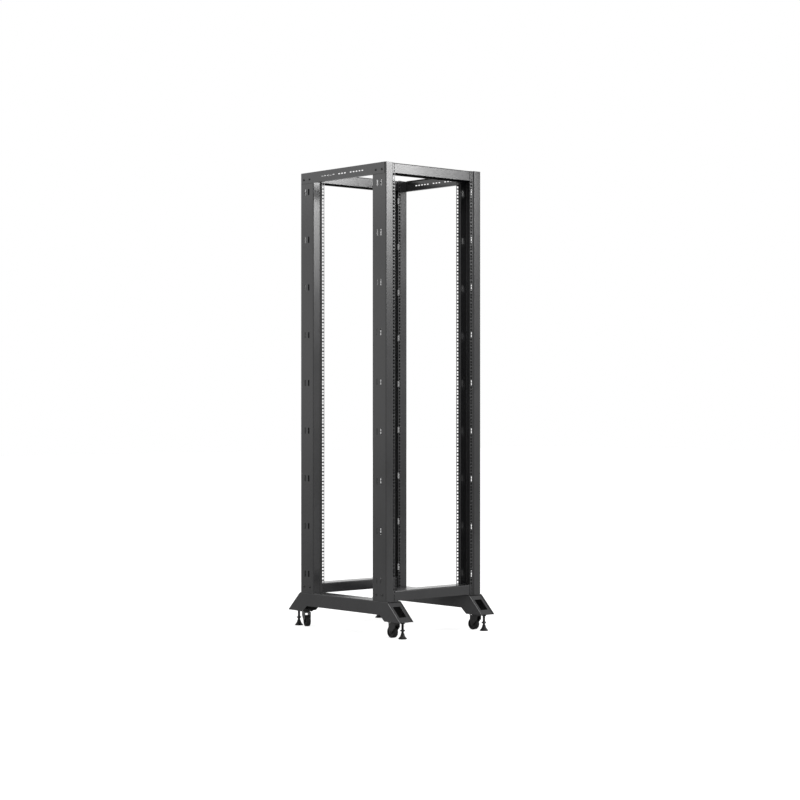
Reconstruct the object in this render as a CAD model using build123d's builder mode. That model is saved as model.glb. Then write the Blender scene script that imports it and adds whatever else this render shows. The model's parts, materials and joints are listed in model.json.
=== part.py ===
from build123d import *
import os

# Four post open frame rack, 42 rack units high, on castors and levelling feet.
# Millimetres. The origin is on the floor in the middle of the rack.
# +X points right and +Y points back, as seen from the front. +Z points up.

# Rack standard
rack_unit = 44.45
clear_units = 42
end_units = 1
hole_centres = 465.1
square_hole = 9.5
holes_in_unit = (6.35, 22.225, 38.1)

# Folded posts
sheet = 2.0
bend_radius = 3.0
hole_to_outside = 51.5
hole_to_joggle = 8.5
hole_to_bay = 7.55
post_depth = 96.0
post_pitch = 530.0
post_end_margin = 1.1
strip_step = 7.5
joggle_run = 4.0

# Pairs of upright slots in the post webs
slot_width = 10.0
slot_height = 28.0
slot_spacing = 26.0
slot_first_unit = 2
slot_pitch_units = 5

# Cross members between the left and right posts
cross_depth = 80.0
cross_height = 45.0
cross_bend = 4.0

# Side rails outside the post webs at the top
side_rail_height = 50.0
side_rail_inset = 8.0
side_rail_lip = 14.0
side_rail_gap = 6.0
lacing_length = 13.0
lacing_height = 5.0
lacing_pitch = 21.0
lacing_group_pitch = 105.0
lacing_counts = (5, 3, 5)

# Base beams with splayed feet
beam_sheet = 2.5
beam_width = 80.0
beam_top = 162.0
beam_bottom = 100.5
foot_bottom = 74.0
toe_top = 6.0
toe_bottom = 97.0
heel_bottom = 13.0
heel_run = 33.0
beam_edge_radius = 3.0

# Slanted end caps with a window
cap_inset = 3.0
window_width = 42.0
window_low = 96.0
window_high = 140.0
window_corner = 2.0

# Foot plates inside the feet
foot_plate_sheet = 3.0
foot_plate_inset = 12.0
weld_nut_height = 6.0

# Levelling feet
stud_ahead = 67.0
stud_radius = 6.0
stud_top = 79.0
pad_radius = 19.5
pad_rim = 3.0
pad_neck_radius = 7.5
pad_height = 26.0
pad_flare_radius = 34.0
nut_across_flats = 19.0
nut_low = 35.0
nut_height = 6.0
stud_clearance = 0.3
nut_clearance = 0.05

# Castors
castor_ahead = 9.0
castor_trail = 11.0
wheel_radius = 26.5
wheel_width = 22.0
wheel_lift = 0.3
wheel_side_gap = 1.5
wheel_recess = 5.0
hub_radius = 7.5
rim_thickness = 2.5
tread = 5.0
tread_shoulder = 2.5
castor_sheet = 2.5
castor_plate_size = 44.0
race_radius = 17.0
race_height = 3.5
crown_length = 44.0
leg_shoulder = 18.0
kingpin_radius = 4.0
kingpin_head_radius = 7.0
kingpin_head = 3.0
axle_radius = 3.0
axle_head_radius = 5.5
axle_head = 2.0
leg_end_radius = 8.0
running_gap = 0.3
bore_clearance = 0.06
castor_yaw = {"front_left": 0.0, "front_right": 5.0, "rear_left": 160.0, "rear_right": 0.0}

# Worked out from the sizes above
half_width = hole_centres / 2 + hole_to_outside
half_depth = (post_pitch + post_depth) / 2
pattern_height = (clear_units + 2 * end_units) * rack_unit
post_length = pattern_height + 2 * post_end_margin
rack_top = beam_top + post_length
pattern_bottom = beam_top + post_end_margin
flat_width = hole_to_outside - hole_to_joggle - joggle_run
edge_from_outside = hole_to_outside + hole_to_bay
beam_centre = half_width - beam_width / 2
beam_inner_width = beam_width - 2 * beam_sheet
stud_y = half_depth + stud_ahead
castor_y = half_depth + castor_ahead

corners = {
    "front_left": (-1, -1),
    "front_right": (1, -1),
    "rear_left": (-1, 1),
    "rear_right": (1, 1),
}

os.makedirs("parts", exist_ok=True)


def save(piece, name):
    piece.part.label = name
    export_step(piece.part, f"parts/{name}.step")


def post_section_points(side, end):
    """Middle line of the folded post, with the outer strip sunk and the inner strip proud."""
    skin = sheet / 2
    joggle_end = flat_width + joggle_run
    inward = [
        (edge_from_outside, skin + strip_step),
        (joggle_end, skin + strip_step),
        (flat_width, skin),
        (skin, skin),
        (skin, post_depth - skin),
        (flat_width, post_depth - skin),
        (joggle_end, post_depth - skin + strip_step),
        (edge_from_outside, post_depth - skin + strip_step),
    ]
    return [(side * (half_width - a), end * (half_depth - b)) for a, b in inward]


def hole_heights():
    units = clear_units + 2 * end_units
    return [pattern_bottom + u * rack_unit + h for u in range(units) for h in holes_in_unit]


def slot_heights():
    units = range(slot_first_unit, clear_units + 2 * end_units, slot_pitch_units)
    return [pattern_bottom + u * rack_unit for u in units]


def make_post(side, end):
    """One post: a folded channel, open inwards, with square holes and web slots."""
    with BuildPart() as post:
        with BuildSketch(Plane.XY.offset(beam_top)):
            with BuildLine():
                FilletPolyline(*post_section_points(side, end), radius=bend_radius)
            trace(line_width=sheet)
        extrude(amount=post_length)
        strip_front = Plane.XZ.offset(-end * (half_depth - strip_step))
        with BuildSketch(strip_front):
            with Locations(*[(side * hole_centres / 2, z) for z in hole_heights()]):
                Rectangle(square_hole, square_hole)
        extrude(amount=end * sheet, mode=Mode.SUBTRACT)
        web_face = Plane.YZ.offset(side * half_width)
        web_middle = end * (half_depth - post_depth / 2)
        with BuildSketch(web_face):
            for z in slot_heights():
                with Locations((web_middle - slot_spacing / 2, z), (web_middle + slot_spacing / 2, z)):
                    Rectangle(slot_width, slot_height)
        extrude(amount=-side * sheet, mode=Mode.SUBTRACT)
    return post


def make_cross_member(end, low):
    """An inverted channel with closed ends, between the webs and behind the outer strips."""
    outer = half_depth - strip_step - sheet
    inner = outer - cross_depth
    skin = sheet / 2
    points = [
        (end * (outer - skin), low),
        (end * (outer - skin), low + cross_height - skin),
        (end * (inner + skin), low + cross_height - skin),
        (end * (inner + skin), low),
    ]
    reach = half_width - sheet
    with BuildPart() as member:
        with BuildSketch(Plane.YZ):
            with BuildLine():
                FilletPolyline(*points, radius=cross_bend)
            trace(line_width=sheet)
        extrude(amount=reach, both=True)
        for side in (-1, 1):
            with BuildSketch(Plane.YZ.offset(side * reach)):
                with Locations((end * (outer + inner) / 2, low + (cross_height - sheet) / 2)):
                    Rectangle(cross_depth - sheet, cross_height - sheet)
            extrude(amount=-side * sheet)
    return member


def make_side_rail(side):
    """A flat rail across the outside of both webs, with lips between the posts."""
    lip_half = half_depth - post_depth - strip_step - side_rail_gap
    rail_half = half_depth - side_rail_inset
    low = rack_top - side_rail_height
    middle = rack_top - side_rail_height / 2
    middle_group = len(lacing_counts) // 2
    with BuildPart() as rail:
        with BuildSketch(Plane.YZ.offset(side * half_width)):
            with Locations((0, middle)):
                Rectangle(2 * rail_half, side_rail_height)
        extrude(amount=side * sheet)
        with BuildSketch(Plane.YZ.offset(side * half_width)):
            with Locations((0, rack_top - sheet / 2), (0, low + sheet / 2)):
                Rectangle(2 * lip_half, sheet)
        extrude(amount=-side * side_rail_lip)
        with BuildSketch(Plane.YZ.offset(side * half_width)):
            for group, count in enumerate(lacing_counts):
                with Locations(((group - middle_group) * lacing_group_pitch, middle)):
                    with GridLocations(lacing_pitch, 0, count, 1):
                        Rectangle(lacing_length, lacing_height)
        extrude(amount=side * sheet, mode=Mode.SUBTRACT)
    return rail


def beam_outline():
    """Side view of a base beam and its two splayed feet."""
    top_reach = half_depth + toe_top
    toe_reach = half_depth + toe_bottom
    heel_reach = half_depth - heel_bottom
    heel_top = heel_reach - heel_run
    right = [
        (top_reach, beam_top),
        (toe_reach, foot_bottom),
        (heel_reach, foot_bottom),
        (heel_top, beam_bottom),
    ]
    left = [(-y, z) for y, z in reversed(right)]
    return right + left


def make_base_beam(side):
    """An inverted channel from toe to toe, open below and at its slanted ends."""
    inside = side * (half_width - beam_sheet)
    whole_length = 2 * (half_depth + toe_bottom)
    with BuildPart() as beam:
        with BuildSketch(Plane.YZ.offset(side * half_width)):
            with BuildLine():
                Polyline(*beam_outline(), close=True)
            make_face()
        extrude(amount=-side * beam_width)
        top_edges = beam.edges().filter_by(Axis.Y).group_by(Axis.Z)[-1]
        fillet(top_edges, radius=beam_edge_radius)
        with BuildSketch(Plane.YZ.offset(inside)):
            with Locations((0, beam_top - beam_sheet)):
                Rectangle(whole_length, beam_top, align=(Align.CENTER, Align.MAX))
        extrude(amount=-side * beam_inner_width, mode=Mode.SUBTRACT)
    return beam


def toe_reach_at(height):
    """How far the slanted edge of a foot reaches at one height."""
    share = (beam_top - height) / (beam_top - foot_bottom)
    return half_depth + toe_top + share * (toe_bottom - toe_top)


def make_foot_cap(side, end):
    """A slanted end plate with a window, set in between the side walls of the beam."""
    slope = Vector(toe_bottom - toe_top, beam_top - foot_bottom)
    stretch = slope.length / slope.Y
    front = cap_inset * stretch
    back = (cap_inset + beam_sheet) * stretch
    low = foot_bottom + foot_plate_sheet
    high = beam_top - beam_sheet
    points = [
        (end * (toe_reach_at(low) - front), low),
        (end * (toe_reach_at(high) - front), high),
        (end * (toe_reach_at(high) - back), high),
        (end * (toe_reach_at(low) - back), low),
    ]
    with BuildPart() as cap:
        with BuildSketch(Plane.YZ.offset(side * beam_centre)):
            with BuildLine():
                Polyline(*points, close=True)
            make_face()
        extrude(amount=beam_inner_width / 2, both=True)
        with BuildSketch(Plane.XZ.offset(-end * half_depth)):
            with Locations((side * beam_centre, (window_low + window_high) / 2)):
                RectangleRounded(window_width, window_high - window_low, window_corner)
        extrude(amount=toe_bottom, both=True, mode=Mode.SUBTRACT)
    return cap


def make_foot_plate(side, end):
    """The plate across the bottom of a foot, with a weld nut for the stud. The castor is under it."""
    outer = toe_reach_at(foot_bottom) - foot_plate_inset + foot_plate_sheet
    inner = half_depth - heel_bottom
    with BuildPart() as plate:
        with BuildSketch(Plane.XY.offset(foot_bottom)):
            with Locations((side * beam_centre, end * (outer + inner) / 2)):
                Rectangle(beam_inner_width, outer - inner)
        extrude(amount=foot_plate_sheet)
        with BuildSketch(Plane.XY.offset(foot_bottom)):
            with Locations((side * beam_centre, end * stud_y)):
                RegularPolygon(nut_across_flats / 2, 6, major_radius=False)
        extrude(amount=-weld_nut_height)
        with BuildSketch(Plane.XY.offset(foot_bottom - weld_nut_height)):
            with Locations((side * beam_centre, end * stud_y)):
                Circle(stud_radius + stud_clearance)
        extrude(amount=weld_nut_height + foot_plate_sheet, mode=Mode.SUBTRACT)
    return plate


def make_levelling_foot(side, end):
    """Flared pad and threaded stud, turned as one piece."""
    section = Plane(origin=(side * beam_centre, end * stud_y, 0), x_dir=(1, 0, 0), z_dir=(0, -1, 0))
    with BuildPart() as foot:
        with BuildSketch(section):
            with BuildLine():
                Polyline((0, 0), (pad_radius, 0), (pad_radius, pad_rim))
                RadiusArc((pad_radius, pad_rim), (pad_neck_radius, pad_height), pad_flare_radius)
                Polyline(
                    (pad_neck_radius, pad_height),
                    (stud_radius, pad_height),
                    (stud_radius, stud_top),
                    (0, stud_top),
                    (0, 0),
                )
            make_face()
        revolve(axis=Axis((side * beam_centre, end * stud_y, 0), (0, 0, 1)))
    return foot


def make_foot_nut(side, end):
    """Hexagon on the stud, above the pad."""
    with BuildPart() as nut:
        with BuildSketch(Plane.XY.offset(nut_low)):
            with Locations((side * beam_centre, end * stud_y)):
                RegularPolygon(nut_across_flats / 2, 6, major_radius=False)
                Circle(stud_radius + nut_clearance, mode=Mode.SUBTRACT)
        extrude(amount=nut_height)
    return nut


def castor_plane(side, end, height, yaw=0.0):
    """Level plane on a castor's swivel axis, with +Y along the trail."""
    plane = Plane(origin=(side * beam_centre, end * castor_y, height))
    return plane.rotated((0, 0, yaw))


race_bottom = foot_bottom - castor_sheet - race_height
crown_top = race_bottom - running_gap
crown_bottom = crown_top - castor_sheet
kingpin_bottom = crown_bottom - running_gap - kingpin_head
axle_height = wheel_radius + wheel_lift
leg_inside = wheel_width / 2 + wheel_side_gap
leg_outside = leg_inside + castor_sheet


def make_castor_plate(side, end):
    """Fixed plate, ball race and kingpin, under the foot plate."""
    with BuildPart() as plate:
        with BuildSketch(castor_plane(side, end, foot_bottom)):
            Rectangle(castor_plate_size, castor_plate_size)
        extrude(amount=-castor_sheet)
        with BuildSketch(castor_plane(side, end, foot_bottom - castor_sheet)):
            Circle(race_radius)
        extrude(amount=-race_height)
        with BuildSketch(castor_plane(side, end, race_bottom)):
            Circle(kingpin_radius)
        extrude(amount=kingpin_bottom - race_bottom)
        with BuildSketch(castor_plane(side, end, kingpin_bottom)):
            Circle(kingpin_head_radius)
        extrude(amount=kingpin_head)
    return plate


def make_castor_fork(side, end, yaw):
    """Swivelling yoke: a crown, two legs and the axle."""
    crown = castor_plane(side, end, crown_top, yaw)
    leg_plane = Plane(origin=crown.origin, x_dir=crown.y_dir, z_dir=crown.x_dir)
    with BuildPart() as fork:
        with BuildSketch(crown):
            Rectangle(2 * leg_outside, crown_length)
            Circle(kingpin_radius + running_gap, mode=Mode.SUBTRACT)
        extrude(amount=-castor_sheet)
        for outward in (-1, 1):
            with BuildSketch(leg_plane.offset(outward * leg_inside)):
                with Locations((0, -leg_shoulder / 2)):
                    Rectangle(crown_length, leg_shoulder)
                with Locations((castor_trail, axle_height - crown_top)):
                    Circle(leg_end_radius)
                make_hull()
            extrude(amount=outward * castor_sheet)
            with BuildSketch(leg_plane.offset(outward * leg_outside)):
                with Locations((castor_trail, axle_height - crown_top)):
                    Circle(axle_head_radius)
            extrude(amount=outward * axle_head)
        with BuildSketch(leg_plane):
            with Locations((castor_trail, axle_height - crown_top)):
                Circle(axle_radius)
        extrude(amount=leg_outside, both=True)
    return fork


def wheel_axis(side, end, yaw):
    """Plane through the wheel centre, with its normal along the axle."""
    level = castor_plane(side, end, axle_height, yaw)
    centre = level.origin + level.y_dir * castor_trail
    return Plane(origin=centre, x_dir=level.y_dir, z_dir=level.x_dir)


def make_castor_wheel(side, end, yaw):
    """Moulded wheel body with a hub, a thin web and a rim."""
    axle = wheel_axis(side, end, yaw)
    rim_radius = wheel_radius - tread
    with BuildPart() as wheel:
        with BuildSketch(axle):
            Circle(rim_radius)
            Circle(axle_radius + bore_clearance, mode=Mode.SUBTRACT)
        extrude(amount=wheel_width / 2, both=True)
        for outward in (-1, 1):
            with BuildSketch(axle.offset(outward * wheel_width / 2)):
                Circle(rim_radius - rim_thickness)
                Circle(hub_radius, mode=Mode.SUBTRACT)
            extrude(amount=-outward * wheel_recess, mode=Mode.SUBTRACT)
    return wheel


def make_castor_tyre(side, end, yaw):
    """Tread ring with rounded shoulders, moulded on the wheel's rim."""
    axle = wheel_axis(side, end, yaw)
    with BuildPart() as tyre:
        with BuildSketch(axle):
            Circle(wheel_radius)
            Circle(wheel_radius - tread, mode=Mode.SUBTRACT)
        extrude(amount=wheel_width / 2, both=True)
        shoulders = tyre.edges().filter_by(GeomType.CIRCLE).filter_by(
            lambda edge: edge.radius > wheel_radius - tread_shoulder
        )
        fillet(shoulders, radius=tread_shoulder)
    return tyre


for name, (side, end) in corners.items():
    yaw = castor_yaw[name]
    save(make_post(side, end), f"post_{name}")
    save(make_foot_cap(side, end), f"foot_cap_{name}")
    save(make_foot_plate(side, end), f"foot_plate_{name}")
    save(make_levelling_foot(side, end), f"levelling_foot_{name}")
    save(make_foot_nut(side, end), f"foot_nut_{name}")
    save(make_castor_plate(side, end), f"castor_plate_{name}")
    save(make_castor_fork(side, end, yaw), f"castor_fork_{name}")
    save(make_castor_wheel(side, end, yaw), f"castor_wheel_{name}")
    save(make_castor_tyre(side, end, yaw), f"castor_tyre_{name}")

for name, side in (("left", -1), ("right", 1)):
    save(make_side_rail(side), f"side_rail_{name}")
    save(make_base_beam(side), f"base_beam_{name}")

for name, end in (("front", -1), ("rear", 1)):
    save(make_cross_member(end, rack_top - cross_height), f"top_rail_{name}")
    save(make_cross_member(end, beam_top), f"crossbeam_{name}")
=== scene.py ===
import json
import math

import bmesh
import bpy
from mathutils import Matrix, Vector


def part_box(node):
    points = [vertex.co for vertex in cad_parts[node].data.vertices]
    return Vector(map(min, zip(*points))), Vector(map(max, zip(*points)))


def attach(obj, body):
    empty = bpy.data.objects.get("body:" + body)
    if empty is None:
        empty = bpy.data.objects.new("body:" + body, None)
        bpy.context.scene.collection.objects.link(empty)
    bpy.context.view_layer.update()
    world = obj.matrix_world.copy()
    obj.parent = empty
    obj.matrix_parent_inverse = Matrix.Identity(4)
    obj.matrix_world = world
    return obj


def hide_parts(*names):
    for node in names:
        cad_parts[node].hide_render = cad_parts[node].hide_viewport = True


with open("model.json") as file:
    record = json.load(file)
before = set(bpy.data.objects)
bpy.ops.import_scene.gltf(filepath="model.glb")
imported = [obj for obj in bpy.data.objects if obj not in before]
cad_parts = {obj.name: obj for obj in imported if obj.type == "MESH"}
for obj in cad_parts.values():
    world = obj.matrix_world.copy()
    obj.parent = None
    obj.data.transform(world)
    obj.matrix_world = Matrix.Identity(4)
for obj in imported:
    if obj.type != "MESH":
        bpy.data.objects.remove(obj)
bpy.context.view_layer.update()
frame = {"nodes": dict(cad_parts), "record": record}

# Looks of the four post open frame rack: black powder coat, black plated castors and feet.
# Metres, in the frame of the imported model.

# Rack standard
RACK_UNIT = 0.04445
UNITS = 44
HOLES_IN_UNIT = (0.00635, 0.022225, 0.0381)
SQUARE_HOLE = 0.0095

# Folded posts
SHEET = 0.002
BEND_RADIUS = 0.003
HOLE_TO_OUTSIDE = 0.0515
HOLE_TO_JOGGLE = 0.0085
HOLE_TO_BAY = 0.00755
POST_DEPTH = 0.096
POST_END_MARGIN = 0.0011
STRIP_STEP = 0.0075
JOGGLE_RUN = 0.004
SLOT_WIDTH = 0.010
SLOT_HEIGHT = 0.028
SLOT_SPACING = 0.026
SLOT_FIRST_UNIT = 2
SLOT_PITCH_UNITS = 5
BEND_STEPS = 4

# Points and runs that count as one, and softened edges
SAME_POINT = 1e-6
SAME_RUN = 0.0003
EDGE_SOFTNESS = 0.0003
SOFT_EDGE_ANGLE = math.radians(40)
BROAD_SOFTNESS = {
    "castor_fork": 0.0009,
    "castor_wheel": 0.0008,
    "castor_plate": 0.0006,
    "foot_plate": 0.0006,
    "base_beam": 0.0011,
}

# Degrees between faces from which an edge of a built form is crisp
CRISP_FROM = {
    "web_screws": 35,
    "levelling_foot": 30,
    "foot_nut": 25,
    "castor_bolts": 25,
    "cap_welds": 60,
    "painted_highlight_edges": 60,
}

# Screws through the webs, with button heads and hexagon sockets, each turned by its place
SCREW_SPACING = 0.043
SCREW_HEAD_RADIUS = 0.0055
SCREW_HEAD_HEIGHT = 0.0033
SCREW_HEAD_RIM = 0.0004
SCREW_HEAD_SINK = 0.0005
SCREW_STEPS = 48
SCREW_DOME_STEPS = 7
SCREW_DOME_ANGLE = math.radians(63)
SCREW_SOCKET = 0.0023
SCREW_SOCKET_MOUTH = SCREW_SOCKET * 1.12
SCREW_SOCKET_CHAMFER = 0.0002
SCREW_SOCKET_DEPTH = 0.0019
SCREW_SOCKET_POINT = 0.0024
SCREW_TURN = 0.4
SCREW_TURN_PER_METRE = 7
LOW_SCREW_HEIGHT = 0.0285
HIGH_SCREW_DROP = 0.0315

# Levelling feet. The sole's edge has distances in from the pad's radius, and heights.
PAD_RADIUS = 0.0195
PAD_SOLE = ((0.0012, 0), (0.0004, 0.0006), (0.0004, 0.0016), (0.0010, 0.0018), (0, 0.0021))
PAD_RIM = 0.003
PAD_RIM_CHAMFER = 0.0004
PAD_NECK = 0.0075
PAD_NECK_CHAMFER = 0.0006
PAD_HEIGHT = 0.026
PAD_FLARE = 0.034
PAD_FLARE_STEPS = 12
PAD_STEPS = 64
STUD_RADIUS = 0.006
STUD_CHAMFER = 0.0012
THREAD_PITCH = 0.00175
THREAD_DEPTH = 0.0009
THREAD_SINK = 0.0002
THREAD_PROFILE = (0.0, 0.36, 0.5, 0.86)
THREAD_STEPS = 28
THREAD_RUN_OUT = 10
THREAD_END_MARGIN = 0.001
NUT_BITE = 0.0003

# Bolts under the castor plates, each turned by its place
CASTOR_PLATE_SHEET = 0.0025
PLATE_BOLT_SPREAD = 0.0170
PLATE_BOLT_FLAT = 0.004
PLATE_BOLT_HEAD = 0.0028
PLATE_BOLT_SINK = 0.0002
PLATE_BOLT_TURN_BY_X = 300
PLATE_BOLT_TURN_BY_Y = 90

# Hexagons, and the chamfer of nuts and bolt heads in shares of their half width across flats
HEXAGON_SIDES = 6
HEXAGON_STEPS = 72
CHAMFER_CIRCLE = 0.97
CHAMFER_DROP = 0.018
CHAMFER_SLOPE = math.tan(math.radians(30))

# Base beams with their slanted feet, and the welds and painted highlight lines there
BEAM_SHEET = 0.0025
FOOT_RUN = 0.091
FOOT_FALL = 0.088
WELD_RADIUS = 0.0017
# Painted highlight lines on the feet's slanted edges, between two shares of the foot's fall
PAINTED_HIGHLIGHT_TOP = 0.95
PAINTED_HIGHLIGHT_BOTTOM = 0.02
BEAD_RIPPLE = 0.0022
BEAD_RIPPLE_STEPS = 6
BEAD_TROUGH = 0.86
BEAD_HEIGHT_SHARE = 0.8
BEAD_SIDES = 10
BEAD_TAPER = 12
BEAD_TIP = 0.3

# Coatings: a cloudy change of tone and gloss, an orange peel, and painted shade: a darker, duller
# inside of the beams
CLOUD_SCALE = 6.0
CLOUD_DETAIL = 3.0
CLOUD_LOW = 0.3
CLOUD_HIGH = 0.7
PEEL_DETAIL = 2.0
PEEL_DEPTH = 0.0002
# Painted shade inside the beams and feet: a near black colour and a dull gloss where shade falls
PAINTED_SHADE_COLOUR = (0.004, 0.004, 0.004, 1)
INSIDE_ROUGHNESS = 0.8
INSIDE_MARGIN = 0.0012

# Camera, as in the photograph
LENS = 87.3
SENSOR = 36.0
CAMERA_PLACE = (-5.775, -6.968, 1.022)
CAMERA_TURN = math.radians(-42.3)
SHIFT_RIGHT = -0.1
SHIFT_UP = 0.0106

# Floor, background and lamps: place, target, width, height and watts of each softbox
FLOOR_SIZE = 60
FLOOR_COLOUR = (0.5, 0.5, 0.5, 1)
FLOOR_ROUGHNESS = 0.9
FLOOR_GLOW = 0.75
FLOOR_IN_REFLECTIONS = 0.2
WORLD_AS_LIGHT = 0.6
WHITE = (1, 1, 1, 1)
SOFTBOXES = {
    "front_light": ((3.62, -6.0, 3.85), (0, -0.3, 2.0), 2.14, 2.2, 280),
    "front_light_low": ((3.62, -6.0, 2.42), (0, -0.3, 1.8), 2.3, 0.6, 22),
    "left_light": ((-4.0, 3.8, 3.9), (0, 0, 1.4), 3.0, 3.0, 22),
    "left_light_low": ((-4.0, 3.8, 1.1), (0, 0, 1.0), 3.0, 2.2, 4),
    "top_light": ((-1.15, -1.1, 3.6), (-0.1, -0.3, 0.8), 1.2, 0.7, 30),
}

CORNERS = {
    "front_left": (-1, -1),
    "front_right": (1, -1),
    "rear_left": (-1, 1),
    "rear_right": (1, 1),
}

rack_low, rack_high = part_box("post_front_left")
half_width = -rack_low.x
half_depth = -rack_low.y
post_bottom = rack_low.z
post_top = rack_high.z
pattern_bottom = post_bottom + POST_END_MARGIN


def new_material(name):
    """A node material, with its tree and its Principled shader."""
    material = bpy.data.materials.new(name)
    material.use_nodes = True
    tree = material.node_tree
    return material, tree, tree.nodes["Principled BSDF"]


def object_place(tree):
    """Object coordinates: the shared frame's own, because every object sits at its origin."""
    return tree.nodes.new("ShaderNodeTexCoord").outputs["Object"]


def add_noise(tree, scale, detail):
    """Noise in object coordinates, so that it has the object's own scale."""
    noise = tree.nodes.new("ShaderNodeTexNoise")
    noise.inputs["Scale"].default_value = scale
    noise.inputs["Detail"].default_value = detail
    tree.links.new(object_place(tree), noise.inputs["Vector"])
    return noise.outputs["Fac"]


def add_range(tree, source, low, high):
    """Spreads the middle of a noise between two values."""
    spread = tree.nodes.new("ShaderNodeMapRange")
    spread.inputs["From Min"].default_value = CLOUD_LOW
    spread.inputs["From Max"].default_value = CLOUD_HIGH
    spread.inputs["To Min"].default_value = low
    spread.inputs["To Max"].default_value = high
    tree.links.new(source, spread.inputs["Value"])
    return spread.outputs["Result"]


def add_bump(tree, shader, source, strength, distance):
    """Bumps of a height given by a texture."""
    bump = tree.nodes.new("ShaderNodeBump")
    bump.inputs["Strength"].default_value = strength
    bump.inputs["Distance"].default_value = distance
    tree.links.new(source, bump.inputs["Height"])
    tree.links.new(bump.outputs["Normal"], shader.inputs["Normal"])


def set_input(tree, target, value):
    """Links an output to an input, or gives the input a constant."""
    if isinstance(value, bpy.types.NodeSocket):
        tree.links.new(value, target)
    else:
        target.default_value = value


def add_mix(tree, factor, first, second, kind="FLOAT"):
    """Mixes two values or colours, each an output or a constant."""
    mix = tree.nodes.new("ShaderNodeMix")
    mix.data_type = kind
    set_input(tree, mix.inputs["Factor"], factor)
    set_input(tree, mix.inputs["A"], first)
    set_input(tree, mix.inputs["B"], second)
    return mix.outputs["Result"]


def add_math(tree, operation, *values):
    """Arithmetic on outputs and constants."""
    node = tree.nodes.new("ShaderNodeMath")
    node.operation = operation
    for target, value in zip(node.inputs, values):
        set_input(tree, target, value)
    return node.outputs["Value"]


def coated(name, dark, light, smooth, rough, peel_scale, peel_strength, shine):
    """Black coating: slight tone and gloss changes, and a fine orange peel."""
    material, tree, shader = new_material(name)
    shader.inputs["Specular IOR Level"].default_value = shine
    clouds = add_noise(tree, CLOUD_SCALE, CLOUD_DETAIL)
    share = add_range(tree, clouds, 0.0, 1.0)
    colour = add_mix(tree, share, (*dark, 1), (*light, 1), "RGBA")
    tree.links.new(colour, shader.inputs["Base Color"])
    tree.links.new(add_range(tree, clouds, smooth, rough), shader.inputs["Roughness"])
    peel = add_noise(tree, peel_scale, PEEL_DETAIL)
    add_bump(tree, shader, peel, peel_strength, PEEL_DEPTH)
    return material


def paint_shade_inside(material, low, high, top):
    """Painted shade inside the beams and feet: a darker, duller coat between two distances from
    the middle plane and under a height, a mask by place on the part."""
    tree = material.node_tree
    shader = tree.nodes["Principled BSDF"]
    parts = tree.nodes.new("ShaderNodeSeparateXYZ")
    tree.links.new(object_place(tree), parts.inputs["Vector"])
    away = add_math(tree, "ABSOLUTE", parts.outputs["X"])
    between = add_math(tree, "COMPARE", away, (low + high) / 2, (high - low) / 2)
    under = add_math(tree, "LESS_THAN", parts.outputs["Z"], top)
    inside = add_math(tree, "MULTIPLY", between, under)
    for name, value, kind in (
        ("Base Color", PAINTED_SHADE_COLOUR, "RGBA"),
        ("Roughness", INSIDE_ROUGHNESS, "FLOAT"),
    ):
        outside = shader.inputs[name].links[0].from_socket
        tree.links.new(add_mix(tree, inside, outside, value, kind), shader.inputs[name])


def powder(name):
    """The black powder coat of the frame."""
    return coated(
        name,
        dark=(0.019, 0.019, 0.020),
        light=(0.025, 0.025, 0.026),
        smooth=0.17,
        rough=0.22,
        peel_scale=900.0,
        peel_strength=0.08,
        shine=0.5,
    )


powder_coat = powder("powder_coat_black")
# The beams' coat, which also carries the painted shade inside their channels
painted_shade_beam_coat = powder("powder_coat_black_beams_painted_shade")
cap_coat = coated(
    "powder_coat_black_caps",
    dark=(0.013, 0.013, 0.014),
    light=(0.018, 0.018, 0.019),
    smooth=0.20,
    rough=0.26,
    peel_scale=900.0,
    peel_strength=0.08,
    shine=0.38,
)
# Painted highlight: a light grey coat for the lines along the feet's slanted edges
painted_highlight_coat = coated(
    "powder_coat_painted_highlight",
    dark=(0.16, 0.16, 0.162),
    light=(0.23, 0.23, 0.232),
    smooth=0.35,
    rough=0.50,
    peel_scale=700.0,
    peel_strength=0.15,
    shine=0.5,
)
black_steel = coated(
    "black_plated_steel",
    dark=(0.012, 0.012, 0.013),
    light=(0.022, 0.021, 0.020),
    smooth=0.26,
    rough=0.40,
    peel_scale=500.0,
    peel_strength=0.15,
    shine=0.35,
)
foot_black = coated(
    "levelling_foot_black",
    dark=(0.009, 0.009, 0.009),
    light=(0.015, 0.015, 0.015),
    smooth=0.42,
    rough=0.58,
    peel_scale=500.0,
    peel_strength=0.20,
    shine=0.22,
)
nylon = coated(
    "wheel_nylon_black",
    dark=(0.012, 0.012, 0.012),
    light=(0.018, 0.018, 0.018),
    smooth=0.45,
    rough=0.55,
    peel_scale=700.0,
    peel_strength=0.20,
    shine=0.3,
)
rubber = coated(
    "tread_rubber_black",
    dark=(0.010, 0.010, 0.010),
    light=(0.015, 0.015, 0.015),
    smooth=0.65,
    rough=0.80,
    peel_scale=1200.0,
    peel_strength=0.35,
    shine=0.2,
)


def add_piece(name, mesh, material, body, stands_for=()):
    """A finished piece that rides on a body and takes the place of CAD nodes."""
    piece = bpy.data.objects.new(name, mesh)
    bpy.context.scene.collection.objects.link(piece)
    mesh.materials.clear()
    mesh.materials.append(material)
    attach(piece, body)
    if stands_for:
        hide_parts(*stands_for)
    return piece


def soften_edges(piece, width):
    """Rounds the sharp edges a little and keeps flat faces flat in shading."""
    bevel = piece.modifiers.new("soft_edges", "BEVEL")
    bevel.width = width
    bevel.segments = 2
    bevel.limit_method = "ANGLE"
    bevel.angle_limit = SOFT_EDGE_ANGLE
    bevel.use_clamp_overlap = True
    flat = piece.modifiers.new("flat_faces", "WEIGHTED_NORMAL")
    flat.keep_sharp = True


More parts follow.
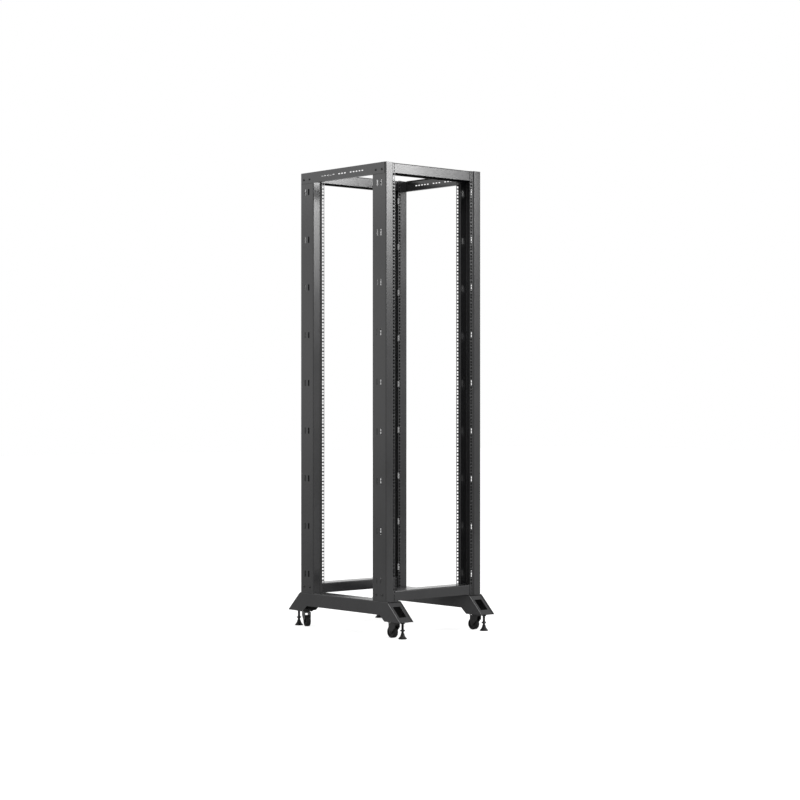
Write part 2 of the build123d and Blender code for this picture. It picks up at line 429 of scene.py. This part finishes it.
def fillet_path(corners, radius, steps):
    """A polyline with its corners rounded by arcs."""
    path = [corners[0]]
    for before, corner, after in zip(corners, corners[1:], corners[2:]):
        into = (corner - before).normalized()
        out = (after - corner).normalized()
        turn = into.angle_signed(out)
        reach = radius * math.tan(abs(turn) / 2)
        start = corner - into * reach
        side = Vector((into.y, -into.x)) if turn > 0 else Vector((-into.y, into.x))
        centre = start + side * radius
        for step in range(steps + 1):
            arm = (start - centre).copy()
            arm.rotate(Matrix.Rotation(-turn * step / steps, 2))
            path.append(centre + arm)
    path.append(corners[-1])
    return path


def split_path(path, axis, level, other):
    """Adds a point where a straight run passes a level, on the run with the other coordinate."""
    cut = []
    for start, end in zip(path, path[1:]):
        cut.append(start)
        crosses = (start[axis] - level) * (end[axis] - level) < 0
        if crosses and abs(start[1 - axis] - other) < SAME_RUN:
            share = (level - start[axis]) / (end[axis] - start[axis])
            cut.append(start.lerp(end, share))
    cut.append(path[-1])
    return cut


def ring_radius(radius, turn, sides):
    """The radius of a circle, or of a hexagon with that half width across its flats."""
    if sides == 0:
        return radius
    sector = 2 * math.pi / sides
    return radius / math.cos((turn + sector / 2) % sector - sector / 2)


def upright(low, high, height):
    """The place of a form that stands upright in the middle of a box, at a height."""
    return Matrix.Translation(((low.x + high.x) / 2, (low.y + high.y) / 2, height))


def around(place, reach, turn, height):
    """A point at a distance from the local Z axis, an angle round it and a height."""
    return place @ Vector((reach * math.cos(turn), reach * math.sin(turn), height))


def join_rings(shape, first, second, turned=False):
    """Quads between two closed rings with the same number of points."""
    for index in range(len(first)):
        after = (index + 1) % len(first)
        quad = (first[index], first[after], second[after], second[index])
        shape.faces.new(quad[::-1] if turned else quad)


def add_lathe(shape, rings, place, steps):
    """A turned form about the local Z axis, from rings of radius and height, with the number
    of sides as a third value where a ring isn't round."""
    levels = []
    for radius, height, *sides in rings:
        if radius == 0:
            levels.append([shape.verts.new(place @ Vector((0, 0, height)))])
            continue
        level = []
        for step in range(steps):
            turn = 2 * math.pi * step / steps
            reach = ring_radius(radius, turn, sides[0] if sides else 0)
            level.append(shape.verts.new(around(place, reach, turn, height)))
        levels.append(level)
    for lower, upper in zip(levels, levels[1:]):
        if len(lower) == len(upper):
            join_rings(shape, lower, upper)
            continue
        for step in range(steps):
            after = (step + 1) % steps
            if len(lower) == 1:
                shape.faces.new((lower[0], upper[after], upper[step]))
            else:
                shape.faces.new((lower[step], lower[after], upper[0]))


def add_hexagon(shape, place, flat, height, bore):
    """A nut or bolt head with chamfered corners, open in the middle where it has a bore."""
    circle = flat * CHAMFER_CIRCLE
    for turned in (False, True):
        levels = []
        for level in range(4 if bore > 0 else 3):
            ring = []
            for step in range(HEXAGON_STEPS):
                turn = 2 * math.pi * step / HEXAGON_STEPS
                corner = ring_radius(flat, turn, HEXAGON_SIDES)
                edge = height - (corner - circle) * CHAMFER_SLOPE - flat * CHAMFER_DROP
                profile = ((corner, height / 2), (corner, edge), (circle, height), (bore, height))
                reach, rise = profile[level]
                if turned:
                    rise = height - rise
                ring.append(shape.verts.new(around(place, reach, turn, rise)))
            levels.append(ring)
        for lower, upper in zip(levels, levels[1:]):
            join_rings(shape, lower, upper, turned)
        if bore == 0:
            lid = shape.faces.new(levels[-1][::-1] if turned else levels[-1])
            lid.smooth = False


def finish_shape(shape, name):
    """A mesh of a built form, closed up, with smooth shading and its own crisp edges."""
    bmesh.ops.remove_doubles(shape, verts=shape.verts, dist=SAME_POINT)
    bmesh.ops.recalc_face_normals(shape, faces=shape.faces)
    mesh = bpy.data.meshes.new(name)
    shape.to_mesh(mesh)
    shape.free()
    mesh.shade_smooth()
    mesh.set_sharp_from_angle(angle=math.radians(CRISP_FROM[name]))
    return mesh


def button_head():
    """Rings of a button head screw, from its seat over the dome to the floor of its socket."""
    rings = [
        (0, -SCREW_HEAD_SINK),
        (SCREW_HEAD_RADIUS, -SCREW_HEAD_SINK),
        (SCREW_HEAD_RADIUS, SCREW_HEAD_RIM),
    ]
    for step in range(1, SCREW_DOME_STEPS + 1):
        turn = SCREW_DOME_ANGLE * step / SCREW_DOME_STEPS
        rise = SCREW_HEAD_HEIGHT * math.sin(turn) / math.sin(SCREW_DOME_ANGLE)
        rings.append((SCREW_HEAD_RADIUS * math.cos(turn), rise))
    rings += [
        (SCREW_SOCKET_MOUTH, SCREW_HEAD_HEIGHT),
        (SCREW_SOCKET, SCREW_HEAD_HEIGHT - SCREW_SOCKET_CHAMFER, HEXAGON_SIDES),
        (SCREW_SOCKET, SCREW_HEAD_HEIGHT - SCREW_SOCKET_DEPTH, HEXAGON_SIDES),
        (0, SCREW_HEAD_HEIGHT - SCREW_SOCKET_POINT),
    ]
    return rings


def make_screws():
    """Four screws in each post's web: two at the bottom, and two through the side rail."""
    seats = (
        (half_width, post_bottom + LOW_SCREW_HEIGHT),
        (half_width + SHEET, post_top - HIGH_SCREW_DROP),
    )
    for name, (side, end) in CORNERS.items():
        shape = bmesh.new()
        facing = Matrix.Rotation(side * math.pi / 2, 4, "Y")
        for offset in (-SCREW_SPACING / 2, SCREW_SPACING / 2):
            y = end * (half_depth - POST_DEPTH / 2) + offset
            for x, z in seats:
                turned = Matrix.Rotation(SCREW_TURN + SCREW_TURN_PER_METRE * y + z, 4, "Z")
                place = Matrix.Translation((side * x, y, z)) @ (facing @ turned)
                add_lathe(shape, button_head(), place, SCREW_STEPS)
        mesh = finish_shape(shape, "web_screws")
        add_piece(f"web_screws_{name}", mesh, black_steel, "frame")


def pad_flare():
    """Rings of the pad's hollow flare, an arc from its rim to its neck, without the ends."""
    rim = Vector((PAD_RADIUS, PAD_RIM))
    neck = Vector((PAD_NECK, PAD_HEIGHT))
    chord = neck - rim
    away = Vector((chord.y, -chord.x)).normalized()
    centre = (rim + neck) / 2 + away * math.sqrt(PAD_FLARE**2 - (chord.length / 2) ** 2)
    rings = []
    for step in range(1, PAD_FLARE_STEPS):
        arm = (rim.lerp(neck, step / PAD_FLARE_STEPS) - centre).normalized() * PAD_FLARE
        rings.append(tuple(centre + arm))
    return rings


def add_thread(shape, place, root, low, high):
    """A helical ridge between two heights, with its ends run out."""
    total = int(((high - low) / THREAD_PITCH - 1) * THREAD_STEPS)
    columns = []
    for step in range(total + 1):
        turn = 2 * math.pi * step / THREAD_STEPS
        rise = low + THREAD_PITCH * step / THREAD_STEPS
        grow = min(1, step / THREAD_RUN_OUT, (total - step) / THREAD_RUN_OUT)
        crest = root + (STUD_RADIUS - root) * grow
        reaches = (root - THREAD_SINK, crest, crest, root - THREAD_SINK)
        column = []
        for reach, share in zip(reaches, THREAD_PROFILE):
            height = rise + share * THREAD_PITCH
            column.append(shape.verts.new(around(place, reach, turn, height)))
        columns.append(column)
    for first, second in zip(columns, columns[1:]):
        join_rings(shape, first, second)
    shape.faces.new(columns[0])
    shape.faces.new(columns[-1][::-1])


def add_levelling_foot(name):
    """A flared pad with a sole, and a threaded stud with a chamfered tip."""
    node = f"levelling_foot_{name}"
    low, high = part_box(node)
    place = upright(low, high, 0)
    root = STUD_RADIUS - THREAD_DEPTH
    rings = [(0, 0)]
    rings += [(PAD_RADIUS - inset, rise) for inset, rise in PAD_SOLE]
    rings += [
        (PAD_RADIUS, PAD_RIM - PAD_RIM_CHAMFER),
        (PAD_RADIUS - PAD_RIM_CHAMFER, PAD_RIM),
    ]
    rings += pad_flare()
    rings += [
        (PAD_NECK, PAD_HEIGHT - PAD_NECK_CHAMFER),
        (PAD_NECK - PAD_NECK_CHAMFER, PAD_HEIGHT),
        (root, PAD_HEIGHT),
        (root, high.z - STUD_CHAMFER),
        (root - STUD_CHAMFER, high.z),
        (0, high.z),
    ]
    shape = bmesh.new()
    add_lathe(shape, rings, place, PAD_STEPS)
    add_thread(shape, place, root, PAD_HEIGHT, high.z - THREAD_END_MARGIN)
    mesh = finish_shape(shape, "levelling_foot")
    body = f"leveller_{name}"
    add_piece(f"threaded_{node}", mesh, foot_black, body, [node])


def add_foot_nut(name):
    """The levelling foot's hexagon, with its bore round the stud."""
    node = f"foot_nut_{name}"
    low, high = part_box(node)
    flat = (high.y - low.y) / 2
    shape = bmesh.new()
    add_hexagon(shape, upright(low, high, low.z), flat, high.z - low.z, STUD_RADIUS - NUT_BITE)
    mesh = finish_shape(shape, "foot_nut")
    body = f"leveller_{name}"
    add_piece(f"chamfered_{node}", mesh, black_steel, body, [node])


def make_levelling_feet():
    for name in CORNERS:
        add_levelling_foot(name)
        add_foot_nut(name)


def make_castor_bolts():
    """Four hexagon heads under each castor plate."""
    facing = Matrix.Rotation(math.pi, 4, "X")
    for name in CORNERS:
        low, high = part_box(f"castor_plate_{name}")
        middle = (low + high) / 2
        seat = high.z - CASTOR_PLATE_SHEET + PLATE_BOLT_SINK
        shape = bmesh.new()
        for x in (-PLATE_BOLT_SPREAD, PLATE_BOLT_SPREAD):
            for y in (-PLATE_BOLT_SPREAD, PLATE_BOLT_SPREAD):
                turn = x * PLATE_BOLT_TURN_BY_X + y * PLATE_BOLT_TURN_BY_Y
                moved = Matrix.Translation((middle.x + x, middle.y + y, seat))
                place = moved @ (facing @ Matrix.Rotation(turn, 4, "Z"))
                add_hexagon(shape, place, PLATE_BOLT_FLAT, PLATE_BOLT_HEAD, 0)
        mesh = finish_shape(shape, "castor_bolts")
        add_piece(f"castor_bolts_{name}", mesh, black_steel, "frame")


def add_bead(shape, start, stop, up, radius):
    """A rippled bead from one point to another, thinner towards its ends."""
    along = (stop - start).normalized()
    across = along.cross(up).normalized()
    lift = across.cross(along).normalized()
    length = (stop - start).length
    count = int(length / BEAD_RIPPLE * BEAD_RIPPLE_STEPS)
    columns = []
    for step in range(count + 1):
        share = step / count
        phase = (share * length / BEAD_RIPPLE) % 1
        swell = BEAD_TROUGH + (1 - BEAD_TROUGH) * math.sin(math.pi * phase)
        taper = min(1, BEAD_TAPER * share + BEAD_TIP, BEAD_TAPER * (1 - share) + BEAD_TIP)
        reach = radius * swell * taper
        column = []
        for side in range(BEAD_SIDES):
            turn = 2 * math.pi * side / BEAD_SIDES
            arm = across * math.cos(turn) + lift * math.sin(turn) * BEAD_HEIGHT_SHARE
            column.append(shape.verts.new(start + along * share * length + arm * reach))
        columns.append(column)
    for first, second in zip(columns, columns[1:]):
        join_rings(shape, first, second)
    shape.faces.new(columns[0][::-1])
    shape.faces.new(columns[-1])


def slant_beads(name, sides, toe, end, levels, radius):
    """Beads down the slant of a foot at two sides, between two heights over its lower edge."""
    outward = Vector((0, end * FOOT_FALL, FOOT_RUN)).normalized()
    shape = bmesh.new()
    for x in sides:
        start, stop = (
            Vector((x, toe.y - end * level * FOOT_RUN / FOOT_FALL, toe.z + level))
            for level in levels
        )
        add_bead(shape, start, stop, outward, radius)
    return finish_shape(shape, name)


def make_cap_welds():
    """Beads along both slanted sides of each foot cap."""
    for name, (_, end) in CORNERS.items():
        low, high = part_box(f"foot_cap_{name}")
        toe = Vector((0, high.y if end > 0 else low.y, low.z))
        levels = (high.z - low.z, 0)
        mesh = slant_beads("cap_welds", (low.x, high.x), toe, end, levels, WELD_RADIUS)
        add_piece(f"cap_welds_{name}", mesh, powder_coat, "frame")


def make_painted_highlight_edges():
    """Painted highlight lines along the slanted cut edges of the feet: thin light grey rods."""
    skin = BEAM_SHEET / 2
    levels = (FOOT_FALL * PAINTED_HIGHLIGHT_TOP, FOOT_FALL * PAINTED_HIGHLIGHT_BOTTOM)
    for name, (side, end) in CORNERS.items():
        low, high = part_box("base_beam_left" if side < 0 else "base_beam_right")
        toe = Vector((0, high.y if end > 0 else low.y, low.z))
        sides = (low.x + skin, high.x - skin)
        mesh = slant_beads("painted_highlight_edges", sides, toe, end, levels, skin)
        add_piece(f"painted_highlight_edges_{name}", mesh, painted_highlight_coat, "frame")


def post_section():
    """Middle line of the folded post: distances in from the outside and from the outer face."""
    skin = SHEET / 2
    flat = HOLE_TO_OUTSIDE - HOLE_TO_JOGGLE - JOGGLE_RUN
    joggle_end = flat + JOGGLE_RUN
    edge = HOLE_TO_OUTSIDE + HOLE_TO_BAY
    sunk = skin + STRIP_STEP
    proud = POST_DEPTH - skin + STRIP_STEP
    corners = [
        Vector((edge, sunk)),
        Vector((joggle_end, sunk)),
        Vector((flat, skin)),
        Vector((skin, skin)),
        Vector((skin, POST_DEPTH - skin)),
        Vector((flat, POST_DEPTH - skin)),
        Vector((joggle_end, proud)),
        Vector((edge, proud)),
    ]
    path = fillet_path(corners, BEND_RADIUS, BEND_STEPS)
    for strip in (sunk, proud):
        for edge_side in (-1, 1):
            path = split_path(path, 0, HOLE_TO_OUTSIDE + edge_side * SQUARE_HOLE / 2, strip)
    for slot_side in (-1, 1):
        for edge_side in (-1, 1):
            level = POST_DEPTH / 2 + slot_side * SLOT_SPACING / 2 + edge_side * SLOT_WIDTH / 2
            path = split_path(path, 1, level, skin)
    return path


def hole_heights():
    units = [pattern_bottom + unit * RACK_UNIT for unit in range(UNITS)]
    return [unit + rise for unit in units for rise in HOLES_IN_UNIT]


def slot_heights():
    units = range(SLOT_FIRST_UNIT, UNITS, SLOT_PITCH_UNITS)
    return [pattern_bottom + unit * RACK_UNIT for unit in units]


def spans_about(middles, size):
    return [(middle - size / 2, middle + size / 2) for middle in middles]


def is_inside(value, spans):
    return any(low < value < high for low, high in spans)


def path_normals(path):
    """Normals of a path's points, longer at corners so that an offset keeps the thickness."""
    normals = []
    for index, point in enumerate(path):
        into = (point - path[max(index - 1, 0)]).normalized()
        out = (path[min(index + 1, len(path) - 1)] - point).normalized()
        along = (into + out).normalized()
        normal = Vector((-along.y, along.x))
        straight = out if index == 0 else into
        normals.append(normal / abs(normal.dot(Vector((-straight.y, straight.x)))))
    return normals


def sheet_cells(path, levels, holes, slots):
    """Whether there is sheet, for each step of the path and each span of height."""
    hole_run = [(HOLE_TO_OUTSIDE - SQUARE_HOLE / 2, HOLE_TO_OUTSIDE + SQUARE_HOLE / 2)]
    slot_middles = [POST_DEPTH / 2 - SLOT_SPACING / 2, POST_DEPTH / 2 + SLOT_SPACING / 2]
    slot_runs = spans_about(slot_middles, SLOT_WIDTH)
    cells = []
    for start, stop in zip(path, path[1:]):
        middle = (start + stop) / 2
        in_hole_run = is_inside(middle.x, hole_run)
        in_slot_run = middle.x < SHEET and is_inside(middle.y, slot_runs)
        row = []
        for low, high in zip(levels, levels[1:]):
            z = (low + high) / 2
            cut = (in_hole_run and is_inside(z, holes)) or (in_slot_run and is_inside(z, slots))
            row.append(not cut)
        cells.append(row)
    return cells


def post_mesh(side, end):
    """A folded post with square holes in both strips and slots in the web: an inner and an
    outer skin, and walls at every edge of the sheet."""
    path = post_section()
    normals = path_normals(path)
    holes = spans_about(hole_heights(), SQUARE_HOLE)
    slots = spans_about(slot_heights(), SLOT_HEIGHT)
    levels = sorted([post_bottom, post_top] + [z for span in holes + slots for z in span])
    filled = sheet_cells(path, levels, holes, slots)
    vertices = []
    for point, normal in zip(path, normals):
        for skin_side in (-1, 1):
            place = point + normal * skin_side * SHEET / 2
            for z in levels:
                vertices.append((side * (half_width - place.x), end * (half_depth - place.y), z))
    count = len(levels)

    def corner(column, skin_side, level):
        return (2 * column + skin_side) * count + level

    def is_filled(column, level):
        return 0 <= column < len(filled) and 0 <= level < count - 1 and filled[column][level]

    faces = []
    for column in range(len(filled)):
        for level in range(count - 1):
            if not filled[column][level]:
                continue
            for skin_side in (0, 1):
                quad = [
                    corner(column, skin_side, level),
                    corner(column + 1, skin_side, level),
                    corner(column + 1, skin_side, level + 1),
                    corner(column, skin_side, level + 1),
                ]
                faces.append(quad if skin_side == 0 else quad[::-1])
            walls = (
                ((column - 1, level), (column, level), (column, level + 1)),
                ((column + 1, level), (column + 1, level + 1), (column + 1, level)),
                ((column, level - 1), (column + 1, level), (column, level)),
                ((column, level + 1), (column, level + 1), (column + 1, level + 1)),
            )
            for beside, first, second in walls:
                if not is_filled(*beside):
                    faces.append(
                        [
                            corner(first[0], 0, first[1]),
                            corner(first[0], 1, first[1]),
                            corner(second[0], 1, second[1]),
                            corner(second[0], 0, second[1]),
                        ]
                    )
    mesh = bpy.data.meshes.new("post")
    mesh.from_pydata(vertices, [], faces)
    clean = bmesh.new()
    clean.from_mesh(mesh)
    bmesh.ops.delete(clean, geom=[v for v in clean.verts if not v.link_faces], context="VERTS")
    bmesh.ops.recalc_face_normals(clean, faces=clean.faces)
    clean.to_mesh(mesh)
    clean.free()
    mesh.shade_smooth()
    mesh.set_sharp_from_angle(angle=SOFT_EDGE_ANGLE)
    return mesh


def make_posts():
    for name, (side, end) in CORNERS.items():
        node = f"post_{name}"
        mesh = post_mesh(side, end)
        piece = add_piece(f"folded_{node}", mesh, powder_coat, "frame", [node])
        soften_edges(piece, EDGE_SOFTNESS)


def keep_cad_nodes():
    """CAD nodes whose shape is right stay, with softened edges and these materials."""
    finish = {
        "powder_coat": powder_coat,
        "black_steel": black_steel,
        "wheel_body": nylon,
        "tread": rubber,
    }
    own_coat = {"base_beam": painted_shade_beam_coat, "foot_plate": painted_shade_beam_coat, "foot_cap": cap_coat}
    slots = {row["node"]: row["material_slot"] for row in frame["record"]["subparts"]}
    for name, node in frame["nodes"].items():
        words = 1 if name.startswith("base_beam") else 2
        kind = name.rsplit("_", words)[0]
        node.data.materials.clear()
        node.data.materials.append(own_coat.get(kind, finish[slots[name]]))
        if kind == "post":
            continue
        weld = node.modifiers.new("one_skin", "WELD")
        weld.merge_threshold = SAME_POINT
        soften_edges(node, BROAD_SOFTNESS.get(kind, EDGE_SOFTNESS))


def add_seen_ray(tree, mirrored):
    """1 where the camera sees something, straight or through glass, and a share of 1 where it
    sees it in a reflection."""
    path = tree.nodes.new("ShaderNodeLightPath")
    reflected = add_math(tree, "MULTIPLY", path.outputs["Is Glossy Ray"], mirrored)
    seen = add_math(tree, "MAXIMUM", path.outputs["Is Camera Ray"], reflected)
    return add_math(tree, "MAXIMUM", seen, path.outputs["Is Transmission Ray"])


def make_floor():
    """A wide pale floor that shows white but keeps the object's shadow."""
    bpy.ops.mesh.primitive_grid_add(
        x_subdivisions=2, y_subdivisions=2, size=FLOOR_SIZE, location=(0, 0, 0)
    )
    floor = bpy.context.object
    floor.name = "floor"
    material, tree, shader = new_material("floor_white")
    shader.inputs["Base Color"].default_value = FLOOR_COLOUR
    shader.inputs["Roughness"].default_value = FLOOR_ROUGHNESS
    floor.data.materials.append(material)
    glow = tree.nodes.new("ShaderNodeEmission")
    glow.inputs["Strength"].default_value = FLOOR_GLOW
    both = tree.nodes.new("ShaderNodeAddShader")
    choose = tree.nodes.new("ShaderNodeMixShader")
    output = tree.nodes["Material Output"]
    tree.links.new(shader.outputs["BSDF"], both.inputs[0])
    tree.links.new(glow.outputs["Emission"], both.inputs[1])
    tree.links.new(add_seen_ray(tree, FLOOR_IN_REFLECTIONS), choose.inputs["Fac"])
    tree.links.new(shader.outputs["BSDF"], choose.inputs[1])
    tree.links.new(both.outputs["Shader"], choose.inputs[2])
    tree.links.new(choose.outputs["Shader"], output.inputs["Surface"])


def make_world():
    """White to the camera and to reflections, softer as a light."""
    world = bpy.data.worlds.new("studio")
    bpy.context.scene.world = world
    world.use_nodes = True
    tree = world.node_tree
    seen = tree.nodes["Background"]
    seen.inputs["Color"].default_value = WHITE
    seen.inputs["Strength"].default_value = 1.0
    lit = tree.nodes.new("ShaderNodeBackground")
    lit.inputs["Color"].default_value = WHITE
    lit.inputs["Strength"].default_value = WORLD_AS_LIGHT
    choose = tree.nodes.new("ShaderNodeMixShader")
    tree.links.new(add_seen_ray(tree, 1.0), choose.inputs["Fac"])
    tree.links.new(lit.outputs["Background"], choose.inputs[1])
    tree.links.new(seen.outputs["Background"], choose.inputs[2])
    tree.links.new(choose.outputs["Shader"], tree.nodes["World Output"].inputs["Surface"])


def add_softbox(name, place, target, width, height, power):
    """A level area lamp that faces a point."""
    lamp = bpy.data.lights.new(name, "AREA")
    lamp.shape = "RECTANGLE"
    lamp.size = width
    lamp.size_y = height
    lamp.energy = power
    holder = bpy.data.objects.new(name, lamp)
    bpy.context.scene.collection.objects.link(holder)
    holder.location = place
    holder.rotation_mode = "QUATERNION"
    holder.rotation_quaternion = (Vector(target) - Vector(place)).to_track_quat("-Z", "Y")


def make_camera():
    data = bpy.data.cameras.new("camera")
    data.lens = LENS
    data.sensor_width = SENSOR
    data.shift_x = SHIFT_RIGHT
    data.shift_y = SHIFT_UP
    camera = bpy.data.objects.new("camera", data)
    bpy.context.scene.collection.objects.link(camera)
    camera.location = CAMERA_PLACE
    camera.rotation_euler = (math.pi / 2, 0, CAMERA_TURN)
    bpy.context.scene.camera = camera


beam_low, beam_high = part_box("base_beam_left")
# Painted shade inside the beams' channels, on the beams' coat
paint_shade_inside(
    painted_shade_beam_coat,
    low=-beam_high.x + INSIDE_MARGIN,
    high=-beam_low.x - INSIDE_MARGIN,
    top=beam_high.z - INSIDE_MARGIN,
)
keep_cad_nodes()
make_posts()
make_screws()
make_levelling_feet()
make_castor_bolts()
make_cap_welds()
# Painted highlights along the feet's slanted edges
make_painted_highlight_edges()
make_floor()
make_world()
for name, (place, target, width, height, power) in SOFTBOXES.items():
    add_softbox(name, place, target, width, height, power)
make_camera()
bpy.context.scene.view_settings.view_transform = "Standard"
